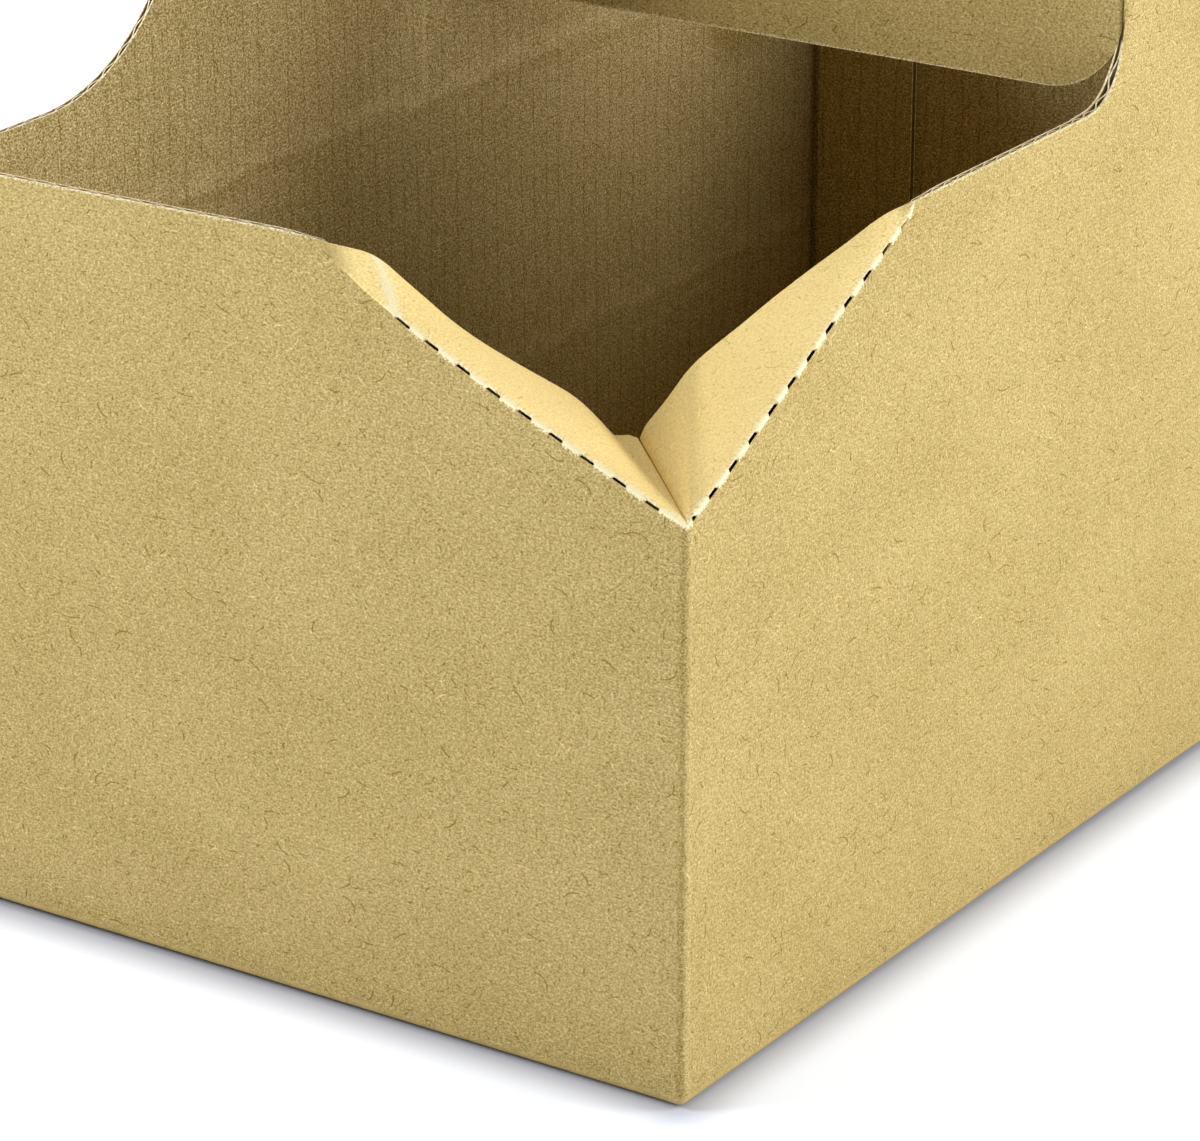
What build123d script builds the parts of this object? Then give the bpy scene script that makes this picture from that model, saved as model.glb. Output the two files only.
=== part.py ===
from build123d import *
import os
from math import sin, cos, radians, sqrt

# Two-cup carrier folded from one blank of fine-flute (E) kraft board.
# Frame: origin under the middle of the base, +X across the width, +Y along
# the length (the front wall faces -Y), +Z up.  All sizes in millimetres.

# ---- driving dimensions --------------------------------------------------
width = 116.0          # overall, X
length = 217.0         # overall, Y
rim = 105.0            # height of the low rim
height = 207.0         # top of the handle and of the raised side panels
board = 1.5            # thickness of the corrugated board
fold_r = 1.2           # outer radius of a folded upright edge
panel_fold_r = 2.0     # outer radius where a cross panel folds off its side wall
base_r = 1.6           # outer radius of the folded bottom edges
glue_flap = 19.0       # width of the glued side-seam flap

# outline of a raised side panel, measured from the upright edge beside it
level_run = 24.2       # rim stays level this far
hollow_r = 30.5        # hollow arc that leaves the rim
lean = 80.0            # slope of the straight edge above it, degrees
shoulder_r = 20.0      # rounding into the top edge

# handle: two cross panels glued face to face
hinge_r = 10.6         # rounded cut where a cross panel leaves its side wall
panel_len = 104.0      # cross panel, from its fold to its free end
panel_end_r = 10.0     # free end, upper corner
hole_w, hole_h, hole_z = 80.0, 25.0, 178.0   # hand hole

# glued bottom
bottom_gap = 1.2       # gap between the two outer flaps
inner_flap = 57.0      # length of the inner flaps

# pushed-in corner, measured from the front right upright edge and the rim
drop = 27.5            # where both perforated folds meet the upright edge
fold_a = [(19.1, 19.5), (42.6, 8.1), (46.1, 6.1), (47.9, 4.9), (49.7, 3.7), (52.1, 2.6), (53.0, 0.0)]
fold_b = [(23.6, 15.8), (51.3, 1.8), (52.2, 0.0)]
slit_len, slit_w = 2.4, 0.5
slits_a = [5.3, 10.0, 14.6, 19.1, 23.6, 28.1, 32.5, 37.1, 41.3]
slits_b = [2.4, 5.8, 10.3, 14.7, 19.2, 23.6, 28.0, 32.4, 36.7, 41.2, 45.7, 49.9]

hx, hy = width / 2, length / 2


# ---- outlines of the walls -----------------------------------------------
def side_outline(y_near, y_far):
    """Outline of a long side wall in (run, z): run goes from the corner beside
    the low half to the corner beside the raised half."""
    y0 = y_near                      # corner beside the low half
    y1 = y_far                       # corner beside the raised half
    yh = -board                      # fold of the cross panel
    a = radians(lean)
    c1 = (y1 - level_run, rim + hollow_r)
    q0 = (y1 - level_run, rim)
    qm = (c1[0] - hollow_r * sin(a / 2), c1[1] - hollow_r * cos(a / 2))
    q1 = (c1[0] - hollow_r * sin(a), c1[1] - hollow_r * cos(a))
    z2 = height - shoulder_r * (1 - cos(a))
    q2 = (q1[0] - (z2 - q1[1]) * cos(a) / sin(a), z2)
    c2 = (q2[0] - shoulder_r * sin(a), height - shoulder_r)
    s_m = (c2[0] + shoulder_r * sin(a / 2), c2[1] + shoulder_r * cos(a / 2))
    q3 = (c2[0], height)
    h0 = (yh, height)
    h1 = (yh, rim + hinge_r)
    hm = (yh - hinge_r + hinge_r * sin(radians(45)), rim + hinge_r - hinge_r * cos(radians(45)))
    h2 = (yh - hinge_r, rim)
    return y0, y1, q0, qm, q1, q2, s_m, q3, h0, h1, hm, h2


def side_face(corner_pts):
    """Face of a long side wall; corner_pts shape its top at the low corner."""
    y0, y1, q0, qm, q1, q2, s_m, q3, h0, h1, hm, h2 = side_outline(-hy, hy)
    edges = [
        Line((y0, 0), (y1, 0)), Line((y1, 0), (y1, rim)), Line((y1, rim), q0),
        ThreePointArc(q0, qm, q1), Line(q1, q2), ThreePointArc(q2, s_m, q3),
        Line(q3, h0), Line(h0, h1), ThreePointArc(h1, hm, h2),
    ]
    pts = [h2] + corner_pts + [(y0, 0)]
    edges += [Line(p, q) for p, q in zip(pts[:-1], pts[1:])]
    return make_face(edges)


YZ = Plane(origin=(0, 0, 0), x_dir=(0, 1, 0), z_dir=(1, 0, 0))
XZ = Plane(origin=(0, 0, 0), x_dir=(1, 0, 0), z_dir=(0, -1, 0))

# right side wall, with the slanted cut of the pushed-in corner
corner_b = [(-hy + s, rim - d) for s, d in reversed(fold_b)] + [(-hy, rim - drop)]
side_right = extrude(YZ.offset(hx - board) * side_face(corner_b), board)
# left side wall: the same wall turned half round, its low corner left whole
side_left = extrude(YZ.offset(hx - board) * side_face([(-hy, rim)]), board).rotate(Axis.Z, 180)

# front wall, with the slanted cut of the pushed-in corner
front_pts = [(-hx, 0), (hx, 0), (hx, rim - drop)] + [(hx - s, rim - d) for s, d in fold_a] + [(-hx, rim)]
front = extrude(XZ.offset(hy - board) * make_face([Line(p, q) for p, q in zip(front_pts, front_pts[1:] + front_pts[:1])]), board)
# back wall, plain
back = Box(width, board, rim, align=(Align.CENTER, Align.MAX, Align.MIN)).moved(Location((0, hy, 0)))

# ---- handle --------------------------------------------------------------
xe = hx - panel_len              # free end
k = 1 - 1 / sqrt(2)
panel_edges = [
    Line((hx, rim + hinge_r), (hx, height)), Line((hx, height), (xe + panel_end_r, height)),
    ThreePointArc((xe + panel_end_r, height), (xe + panel_end_r * k, height - panel_end_r * k), (xe, height - panel_end_r)),
    Line((xe, height - panel_end_r), (xe, rim + hinge_r)),
    ThreePointArc((xe, rim + hinge_r), (xe + hinge_r * k, rim + hinge_r * k), (xe + hinge_r, rim)),
    Line((xe + hinge_r, rim), (hx - hinge_r, rim)),
    ThreePointArc((hx - hinge_r, rim), (hx - hinge_r * k, rim + hinge_r * k), (hx, rim + hinge_r)),
]
panel_right = extrude(XZ * make_face(panel_edges), board)      # y from 0 to -board
panel_left = panel_right.rotate(Axis.Z, 180)
hand_hole = extrude(XZ.offset(-20) * Pos(0, hole_z) * SlotOverall(hole_w, hole_h), 40)

# ---- glued bottom and side seam ------------------------------------------
ow = hx - 0.4
outer_flaps = [
    Box(ow - bottom_gap / 2, length - 2 * board, board, align=(Align.MIN, Align.CENTER, Align.MIN)).moved(Location((bottom_gap / 2, 0, 0))),
    Box(ow - bottom_gap / 2, length - 2 * board, board, align=(Align.MAX, Align.CENTER, Align.MIN)).moved(Location((-bottom_gap / 2, 0, 0))),
]
iw = width - 2 * board
inner_flaps = [
    Box(iw, inner_flap, board, align=(Align.CENTER, Align.MIN, Align.MIN)).moved(Location((0, -hy + board - 0.2, board))),
    Box(iw, inner_flap, board, align=(Align.CENTER, Align.MAX, Align.MIN)).moved(Location((0, hy - board + 0.2, board))),
]
seam_pts = [(-hx + board, 6), (-hx + board + glue_flap, 9), (-hx + board + glue_flap, rim - 5), (-hx + board, rim - 0.6)]
seam = extrude(XZ.offset(-hy + board - 0.1) * make_face([Line(p, q) for p, q in zip(seam_pts, seam_pts[1:] + seam_pts[:1])]), board)

body = side_right + side_left + front + back
body += outer_flaps + inner_flaps
body += seam

# folded upright and bottom edges are rounded
stock = Box(width, length, height, align=(Align.CENTER, Align.CENTER, Align.MIN))
stock = fillet(stock.edges().filter_by(Axis.Z), fold_r)
stock = fillet(stock.faces().sort_by(Axis.Z)[0].edges(), base_r)
body = body & stock

handle = panel_right + panel_left - hand_hole
# the fold of each cross panel is rounded as well
pr = panel_fold_r
trim = Box(pr, pr, height, align=(Align.MIN, Align.MIN, Align.MIN)) - Cylinder(pr, height, align=(Align.CENTER, Align.CENTER, Align.MIN))
trim_r = trim.rotate(Axis.Z, -90).moved(Location((hx - pr, -board + pr, 0)))
trim_r = trim_r & Box(2 * width, 40, height - rim - 1, align=(Align.CENTER, Align.CENTER, Align.MIN)).moved(Location((0, 0, rim + 1)))
body = body + handle
body = body - trim_r - trim_r.rotate(Axis.Z, 180)


# ---- pushed-in corner ----------------------------------------------------
# Points are (in from the right face, in from the front face, below the rim).
def P(a, b, c):
    return Vector(hx - a, -hy + b, rim - c)


def tri_solid(outer, inner, tris):
    """Closed solid between an outer and an inner sheet of the same triangles."""
    faces = []
    count = {}
    for a, b, c in tris:
        faces.append(Face(Wire.make_polygon([outer[a], outer[b], outer[c]], close=True)))
        faces.append(Face(Wire.make_polygon([inner[c], inner[b], inner[a]], close=True)))
        for e in ((a, b), (b, c), (c, a)):
            count[e] = 1
    for a, b in count:
        if (b, a) not in count:
            faces.append(Face(Wire.make_polygon([outer[b], outer[a], inner[a]], close=True)))
            faces.append(Face(Wire.make_polygon([outer[b], inner[a], inner[b]], close=True)))
    return Solid(Shell(faces))


def strip(fold_pts, edge_pts):
    """Triangles between the fold line and the cut edge, by the shorter diagonal."""
    tris = []
    n, m = len(fold_pts), len(edge_pts)
    i, j = 0, 0
    while i < n - 1 or j < m - 1:
        step_f = (fold_pts[i + 1] - edge_pts[j]).length if i < n - 1 else 1e9
        step_e = (edge_pts[j + 1] - fold_pts[i]).length if j < m - 1 else 1e9
        if step_f < step_e:
            tris.append((i, i + 1, n + j))
            i += 1
        else:
            tris.append((i, n + j + 1, n + j))
            j += 1
    return tris


def vertex_normals(pts, tris):
    acc = [Vector(0, 0, 0) for _ in pts]
    for a, b, c in tris:
        nrm = (pts[b] - pts[a]).cross(pts[c] - pts[a])
        for i in (a, b, c):
            acc[i] = acc[i] + nrm
    return [v.normalized() for v in acc]


def flap(fold_pts, edge_pts, wall_in, root):
    """One half of the pushed-in corner: a bent panel of board between its
    perforated fold and its cut edge."""
    tris = strip(fold_pts, edge_pts)
    outer = fold_pts + edge_pts
    nrm = vertex_normals(outer, tris)
    if nrm[len(fold_pts)].Z < 0:
        tris = [(a, c, b) for a, b, c in tris]
        nrm = vertex_normals(outer, tris)
    inner = []
    for i, (p, v) in enumerate(zip(outer, nrm)):
        if i == 0:
            inner.append(root)
        elif i < len(fold_pts):
            # along the fold the inner liner is mitred against the wall
            inner.append(p + wall_in * (board * 0.98) - v * 0.9 - Vector(0, 0, 1.0))
        else:
            inner.append(p - v * board)
    return tri_solid(outer, inner, tris)


apex = P(0.8, 0.8, drop + 0.1)
root = P(2.6, 2.6, drop + 4.2)
meet = P(20.1, 20.1, 25.7)       # where both cut edges meet
tuck = P(18.6, 18.6, 33.2)       # the old upright edge, tucked below them


def depth(line, u):
    """How far below the rim a perforated fold lies, u along the rim."""
    pts = [(0.0, drop)] + line
    for (u0, d0), (u1, d1) in zip(pts[:-1], pts[1:]):
        if u <= u1 + 1e-9:
            return d0 + (d1 - d0) * (u - u0) / (u1 - u0)
    return pts[-1][1]


def on_fold_a(u):
    return P(u, 0, depth(fold_a, u))


def on_fold_b(u):
    return P(0, u, depth(fold_b, u))


flap_a = flap(
    [apex] + [on_fold_a(u) for u in (9.4, 14.0, 19.1, 24.0, 30.0, 36.0, 42.6)] + [P(s, 0.02, d) for s, d in fold_a[2:6]],
    [meet, P(22.7, 18.6, 25.5), P(24.3, 18.0, 23.5), P(27.1, 16.7, 20.5), P(33.2, 13.6, 16.7), P(37.6, 11.3, 13.8),
     P(40.7, 9.8, 11.3), P(44.2, 8.0, 7.8), P(46.3, 6.7, 5.6), P(47.9, 5.2, 3.2), P(50.6, 1.7, 0.6), P(52.9, 0.02, 0.05)],
    Vector(0, 1, 0), root)
flap_b = flap(
    [apex] + [on_fold_b(u) for u in (10.2, 17.0, 23.6, 30.0, 36.0, 42.0, 47.0, 51.3)],
    [meet, P(18.0, 23.3, 21.3), P(16.4, 26.1, 17.6), P(13.1, 31.9, 13.4), P(10.5, 36.4, 10.2), P(7.8, 41.0, 7.2),
     P(5.2, 45.5, 4.4), P(2.8, 49.2, 1.8), P(0.05, 52.1, 0.05)],
    Vector(-1, 0, 0), root)
s = board / sqrt(2) * 0.95
side = Vector(s, s, 0)
heel = P(1.3, 1.3, drop + 5.4)   # where the tucked pleat leaves the inside of the corner
one = [apex + side * 0.6, meet + side, tuck + side, heel + side * 0.6]
two = [apex - side * 0.6, meet - side, tuck - side, heel - side * 0.6]
pleat = tri_solid(one, two, [(0, 1, 2), (0, 2, 3)])
if pleat.volume < 0:
    pleat = tri_solid(two, one, [(0, 1, 2), (0, 2, 3)])

body = body + flap_a + flap_b + pleat

# perforations: short slits through the board along both folds
def slit(at, along, depth_dir):
    pl = Plane(origin=at, x_dir=along, z_dir=depth_dir)
    return pl * Box(slit_len, slit_w, 7.0)


cut = []
for u in slits_a:
    d = (on_fold_a(u + 0.5) - on_fold_a(u - 0.5)).normalized()
    down = Vector(d.Z, 0, -d.X)
    down = down if down.Z < 0 else down * -1
    cut.append(slit(on_fold_a(u), d, (Vector(0, 1, 0) + down * 1.3).normalized()))
for u in slits_b:
    d = (on_fold_b(u + 0.5) - on_fold_b(u - 0.5)).normalized()
    down = Vector(0, d.Z, -d.Y)
    down = down if down.Z < 0 else down * -1
    cut.append(slit(on_fold_b(u), d, (Vector(-1, 0, 0) + down * 1.3).normalized()))
for c in cut:
    body = body - c

solids = body.solids()
solids.sort(key=lambda q: -q.volume)
print("carton solids", [round(q.volume, 1) for q in solids])
carton = solids[0]
bb = carton.bounding_box()
print("carton valid", carton.is_valid, "volume", round(carton.volume, 1), "box", bb.min, bb.max)

os.makedirs("parts", exist_ok=True)
export_step(carton, "parts/carton.step")
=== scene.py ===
import bpy
import math
import numpy as np
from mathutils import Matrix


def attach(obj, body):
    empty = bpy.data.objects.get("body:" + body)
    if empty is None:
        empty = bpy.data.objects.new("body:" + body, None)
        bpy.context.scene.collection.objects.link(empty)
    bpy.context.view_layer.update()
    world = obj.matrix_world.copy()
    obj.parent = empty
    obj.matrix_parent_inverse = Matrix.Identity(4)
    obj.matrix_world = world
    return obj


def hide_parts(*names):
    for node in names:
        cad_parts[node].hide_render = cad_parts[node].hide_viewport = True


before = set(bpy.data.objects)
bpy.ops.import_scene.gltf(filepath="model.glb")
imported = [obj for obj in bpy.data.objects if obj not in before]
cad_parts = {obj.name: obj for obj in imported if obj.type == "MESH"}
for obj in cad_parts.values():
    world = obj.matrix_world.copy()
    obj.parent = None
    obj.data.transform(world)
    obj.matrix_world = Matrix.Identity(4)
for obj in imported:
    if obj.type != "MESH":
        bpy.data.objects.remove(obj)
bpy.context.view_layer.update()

# ---------------------------------------------------------------- sizes, mm
W, L, RIM, TOP = 116.0, 217.0, 105.0, 207.0
HX, HY = W / 2, L / 2
T = 1.5                      # board
LINER = 0.30 / T             # liner, as a share of the board
MEDIUM = 0.26 / T
PITCH = 3.33                 # flute pitch
R_UP = 1.1                   # outer radius of an upright fold
R_V = 2.0                    # outer radius of a cross panel's fold
R_BASE = 1.6                 # outer radius of a bottom fold
HINGE_R = 10.6               # rounded cut beside the cross panel's fold: reach along the wall
HINGE_P = 12.0               # and along the panel
HINGE_H = 13.0               # and up to its end in the fold
PANEL = 104.0
DROP = 27.5                  # perforated folds meet this far below the rim
rng = np.random.default_rng(7)

# small lean of the folded box, measured at its eight corners
LEAN = {
    (1, 0, 0): (0.33, -0.07, 0.0), (0, 0, 0): (0.02, 0.31, 0.25),
    (1, 1, 0): (-0.40, -0.01, 0.15), (0, 1, 0): (0.07, 0.04, 0.0),
    (1, 0, 1): (0.25, 0.63, 0.45), (0, 0, 1): (-0.80, -1.02, -0.73),
    (1, 1, 1): (0.13, -0.17, -0.59), (0, 1, 1): (0.40, 0.29, 0.16),
}


def lean(p):
    """Moves points in mm by the box's small lean."""
    p = np.asarray(p, float)
    a = (p[..., 0] + HX) / W
    b = (p[..., 1] + HY) / L
    c = np.clip(p[..., 2] / RIM, 0, 1)
    out = p.copy()
    for (i, j, k), d in LEAN.items():
        wt = (a if i else 1 - a) * (b if j else 1 - b) * (c if k else 1 - c)
        out = out + wt[..., None] * np.array(d)
    return out


def smooth(x):
    x = np.clip(x, 0, 1)
    return x * x * (3 - 2 * x)


# ------------------------------------------------------- the wall loop
# S runs round the outside: front 0-116, right 116-333, back 333-449,
# left 449-666.  The second half is the first turned half round.
HALF = W + L


def half_path(s):
    """Outer point and inward direction at s in 0..333, in plan."""
    s = np.asarray(s, float)
    x = np.where(s < W - R_UP, -HX + s, HX)
    y = np.where(s < W + R_UP, -HY, -HY + (s - W))
    nx = np.where(s < W, 0.0, -1.0)
    ny = np.where(s < W, 1.0, 0.0)
    k = HX - R_UP
    for centre, s0, a0 in (((k, -HY + R_UP), W, -90.0), ((-k, -HY + R_UP), 0.0, -180.0), ((k, HY - R_UP), HALF, 0.0)):
        m = np.abs(s - s0) <= R_UP
        ang = np.radians(a0 + 90.0 * (s - s0 + R_UP) / (2 * R_UP))
        ca, sa = np.cos(ang), np.sin(ang)
        x = np.where(m, centre[0] + R_UP * ca, x)
        y = np.where(m, centre[1] + R_UP * sa, y)
        nx = np.where(m, -ca, nx)
        ny = np.where(m, -sa, ny)
    return x, y, nx, ny


def loop_path(s):
    s = np.mod(np.asarray(s, float), 2 * HALF)
    second = s >= HALF
    x, y, nx, ny = half_path(np.where(second, s - HALF, s))
    f = np.where(second, -1.0, 1.0)
    return x * f, y * f, nx * f, ny * f


FOLD_A = [(0.0, DROP), (5.3, 25.6), (10.0, 23.5), (14.6, 21.6), (19.1, 19.55), (23.6, 17.5), (28.1, 15.5), (32.5, 13.3),
          (37.2, 11.0), (41.3, 8.9), (42.6, 8.1), (46.1, 6.2), (47.9, 5.0), (49.7, 3.7), (51.6, 2.7), (52.6, 1.5), (53.0, 0.3),
          (58.0, 0.0)]
FOLD_B = [(0.0, DROP), (1.5, 26.6), (5.8, 24.7), (10.3, 22.6), (14.7, 20.3), (19.2, 18.0), (23.6, 15.8), (28.0, 13.6),
          (32.4, 11.2), (36.7, 9.0), (41.2, 6.8), (45.7, 4.6), (49.9, 2.4), (51.3, 1.7), (52.2, 0.0)]
FA_U = np.array([p[0] for p in FOLD_A]); FA_D = np.array([p[1] for p in FOLD_A])
FB_U = np.array([p[0] for p in FOLD_B]); FB_D = np.array([p[1] for p in FOLD_B])


def raised(run):
    """Height of a raised side panel's edge over the rim; run is from its upright edge."""
    a = math.radians(80.0)
    x1 = 24.2 + 30.5 * math.sin(a)
    z1 = 30.5 * (1 - math.cos(a))
    hgt = TOP - RIM
    z2 = hgt - 20.0 * (1 - math.cos(a))
    x2 = x1 + (z2 - z1) / math.tan(a)
    x3 = x2 + 20.0 * math.sin(a)
    z = np.zeros_like(run)
    m = (run > 24.2) & (run <= x1)
    z = np.where(m, 30.5 - np.sqrt(np.maximum(30.5 ** 2 - (run - 24.2) ** 2, 0)), z)
    m = (run > x1) & (run <= x2)
    z = np.where(m, z1 + (run - x1) * math.tan(a), z)
    m = (run > x2) & (run <= x3)
    z = np.where(m, hgt - 20.0 + np.sqrt(np.maximum(400.0 - (run - x3) ** 2, 0)), z)
    return np.where(run > x3, hgt, z)


S_FOLD = W + HY - T           # the cross panel's fold on the right wall, y = -1.5


def wall_cut(d):
    """Height over the rim of the wall's cut edge at d from the cross panel's fold."""
    t = np.clip((HINGE_R - d) / HINGE_R, 0, 1)
    return HINGE_H * (1 - (1 - t ** 2.3) ** 0.4)


def panel_cut(q):
    """The same for the cross panel's own lower edge."""
    t = np.clip((HINGE_P - q) / HINGE_P, 0, 1)
    return HINGE_H * (1 - np.sqrt(1 - t ** 2))


def top_of(s):
    """Height of the wall's cut edge."""
    s = np.mod(np.asarray(s, float), 2 * HALF)
    z = np.full_like(s, RIM)
    h = np.where(s >= HALF, s - HALF, s)
    # rounded cut below the cross panel's fold, and the raised panel beyond it
    d = S_FOLD - h
    m = (d > 0) & (d < HINGE_R)
    z = np.where(m, RIM + wall_cut(d), z)
    m = h >= S_FOLD
    z = np.where(m, RIM + raised(HALF - h), z)
    # the pushed-in corner
    u = W - s
    z = np.where((u >= 0) & (u <= 58.0), RIM - np.interp(u, FA_U, FA_D), z)
    u = s - W
    z = np.where((u >= 0) & (u <= 52.2), RIM - np.interp(u, FB_U, FB_D), z)
    return z


def mitre(s):
    """How far the inner liner stops short below the perforated fold."""
    s = np.asarray(s, float)
    a = smooth((53.0 - (W - s)) / 12.0) * (s <= W)
    b = smooth((52.0 - (s - W)) / 10.0) * (s > W)
    return 2.0 * (a + b)


def fold_arc(q):
    """Outer point and inward direction round the cross panel's fold; q < 0 lies on
    the side wall and q > 0 on the cross panel."""
    q = np.asarray(q, float)
    ang = np.radians(-45.0 - 45.0 * np.clip(q, -R_V, R_V) / R_V)
    cx, cy = HX - R_V, -T + R_V
    x = cx + R_V * np.cos(ang) - np.maximum(q - R_V, 0)
    y = cy + R_V * np.sin(ang) - np.minimum(q + R_V, 0)
    return x, y, -np.cos(ang), -np.sin(ang)


def wall(s, h, w):
    """Point of the wall loop: s round it, h up it, w from 0 at the outer to 1 at the inner face."""
    s, h, w = np.broadcast_arrays(np.asarray(s, float), np.asarray(h, float), np.asarray(w, float))
    s = np.mod(s, 2 * HALF)
    second = s >= HALF
    sh = np.where(second, s - HALF, s)
    x, y, nx, ny = half_path(sh)
    # square inside corners, where the board is pressed together
    kx, ky = HX - T, HY - T
    nx = (np.clip(x, -kx + 0.04 * (x + kx), kx + 0.04 * (x - kx)) - x) / T
    ny = (np.clip(y, -ky + 0.04 * (y + ky), ky + 0.04 * (y - ky)) - y) / T
    # the board is pressed thin where its rim runs into the pushed-in corner
    u = np.where(second, 999.0, s - W)
    far = np.where(u < 0, -u - 53.0, u - 52.2)
    pressed = 1 - 0.62 * np.exp(-(np.maximum(far, 0) / 4.5) ** 2) * (far > -0.5) * smooth((h - (RIM - 9.0)) / 9.0)
    nx, ny = nx * pressed, ny * pressed
    # upper part: the board turns into the cross panel
    q = S_FOLD - sh
    # and a die-cut rim is a little crushed
    crush = 1 - 0.24 * smooth((h - (top_of(s) - 2.2)) / 2.2) * np.where(second, 1.0, smooth(far / 4.0)) * smooth((np.abs(q) - HINGE_R) / 3.0)
    nx, ny = nx * crush, ny * crush
    b = smooth((h - (RIM + 3.5)) / 8.0) * (np.abs(q) < 12)
    fx, fy, fnx, fny = fold_arc(q)
    x, y = x * (1 - b) + fx * b, y * (1 - b) + fy * b
    nx, ny = nx * (1 - b) + fnx * b, ny * (1 - b) + fny * b
    # lower part: the board turns under at the bottom
    hh = h - w * mitre(s) * smooth((h - (top_of(s) - 7.0)) / 7.0) * (s < HALF)
    a = np.clip((R_BASE - hh) / R_BASE, 0, math.pi / 2)
    r = R_BASE - w * T
    inset = np.where(hh < R_BASE, R_BASE - r * np.cos(a), w * T)
    z = np.where(hh < R_BASE, R_BASE - r * np.sin(a), hh)
    f = np.where(second, -1.0, 1.0)
    return np.stack([(x + nx * inset) * f, (y + ny * inset) * f, z], -1)


# ------------------------------------------------------- the pushed-in corner
RIM_A = [(53.0, 5.0, -108.5, 104.7), (51.0, 6.7, -107.6, 104.15), (49.0, 8.35, -105.7, 103.4),
         (46.9, 9.5, -103.3, 102.2), (43.8, 11.76, -101.78, 99.42), (40.7, 13.82, -100.53, 97.21),
         (35.7, 17.29, -98.74, 93.66), (31.4, 20.4, -97.23, 91.18), (25.7, 24.83, -95.06, 88.21),
         (20.6, 28.82, -93.08, 85.75), (17.9, 30.94, -92.04, 84.4), (16.1, 32.19, -91.47, 83.15),
         (13.7, 33.79, -90.78, 81.41), (11.2, 35.43, -90.13, 79.49), (9.6, 37.01, -89.16, 79.57),
         (8.4, 38.0, -88.64, 79.2), (7.4, 38.5, -88.9, 78.3), (4.0, 39.0, -89.4, 74.8), (0.0, 39.3, -89.8, 71.7)]
RIM_B = [(3.6, 39.3, -89.3, 74.9), (6.3, 38.9, -89.0, 78.0), (7.4, 38.25, -88.65, 79.3), (8.8, 38.73, -87.96, 80.91),
         (12.6, 40.06, -85.48, 83.67), (16.2, 41.28, -83.29, 86.56), (17.2, 41.63, -82.7, 87.44),
         (20.7, 43.07, -80.17, 89.41), (25.1, 44.92, -76.88, 91.58), (31.1, 47.49, -72.41, 94.86),
         (37.2, 50.13, -67.79, 97.87), (43.1, 52.72, -63.29, 100.65), (48.0, 55.17, -59.74, 103.41),
         (50.4, 56.8, -57.9, 104.5), (52.2, 58.0, -56.3, 105.0)]
RIM_S = np.array([W - p[0] for p in RIM_A] + [W + p[0] for p in RIM_B])
RIM_P = np.array([p[1:] for p in RIM_A] + [p[1:] for p in RIM_B], float)


def rim_curve(s):
    s = np.asarray(s, float)
    soft = np.minimum(0.12 + 1.5 * smooth((np.abs(s - W) - 10.0) / 8.0), np.minimum(s - RIM_S[0], RIM_S[-1] - s))
    parts = [np.stack([np.interp(s + soft * k, RIM_S, RIM_P[:, i]) for i in range(3)], -1) for k in (-1, -0.5, 0, 0.5, 1)]
    return sum(parts) / 5


FAN_U = np.array([-53.0, -50.5, -48.0, -42.6, -30.0, -20.0, -12.0, -5.0, -2.0, -0.9, -0.35, 0.0,
                  0.35, 0.8, 1.6, 5.0, 10.0, 16.0, 24.0, 52.2])
FAN_R = np.array([-53.0, -51.4, -49.8, -46.8, -33.0, -22.8, -16.6, -12.9, -11.2, -9.4, -8.2, 0.0,
                  7.4, 10.5, 17.2, 19.0, 21.8, 25.5, 30.0, 52.2])


def fan(s):
    """Where on the cut edge a line ends that starts at s on the perforated fold.  The
    lines fan out from the corner, where the two creases of the tuck start."""
    return W + np.interp(np.asarray(s, float) - W, FAN_U, FAN_R)


FOLD_R = 0.5                 # outer radius along the perforated folds


def flap_sheet(s):
    """The pushed-in corner at s (n): outer and inner points on the perforated fold and
    on the cut edge, and the arc of the fold, as (n, 3) each."""
    f_out = wall(s, top_of(s), 0.0)
    f_in = wall(s, top_of(s), 1.0)
    g = fan(s)
    r = rim_curve(g)
    lo, hi = np.maximum(s - 0.6, RIM_S[0]), np.minimum(s + 0.6, RIM_S[-1])
    e = wall(hi, top_of(hi), 0.0) - wall(lo, top_of(lo), 0.0)
    e = e / np.maximum(np.linalg.norm(e, axis=-1, keepdims=True), 1e-9)
    out = wall(s, top_of(s) - 8.0, 0.0) - wall(s, top_of(s) - 8.0, 1.0)
    out = out / np.linalg.norm(out, axis=-1, keepdims=True)
    up = np.cross(e, out)
    up = up * np.where(up[:, 2:3] < 0, -1.0, 1.0)
    up = up / np.maximum(np.linalg.norm(up, axis=-1, keepdims=True), 1e-9)
    d = r - f_out
    turn = np.arctan2(-np.sum(d * out, -1), np.sum(d * up, -1))
    near_end = smooth(np.linalg.norm(d, axis=-1) / 3.0)
    turn = np.clip(turn, 0.0, 2.2)
    dr = rim_curve(np.minimum(g + 0.6, RIM_S[-1])) - rim_curve(np.maximum(g - 0.6, RIM_S[0]))
    away = d + (np.linalg.norm(d, axis=-1, keepdims=True) < 0.3) * np.array([0, 0, 1.0])
    n = np.cross(dr + e * 0.2, away)
    n = n / np.maximum(np.linalg.norm(n, axis=-1, keepdims=True), 1e-9)
    k = 3
    pad = np.pad(n, ((k, k), (0, 0)), mode="edge")
    n = sum(pad[i:i + len(n)] for i in range(2 * k + 1))
    n = n / np.maximum(np.linalg.norm(n, axis=-1, keepdims=True), 1e-9)
    thin = 1 - 0.62 * (1 - smooth(np.minimum(s - RIM_S[0], RIM_S[-1] - s) / 6.0))
    return f_out, f_in, r, r - n * (T * thin)[:, None], up, out, turn, FOLD_R * near_end


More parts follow.
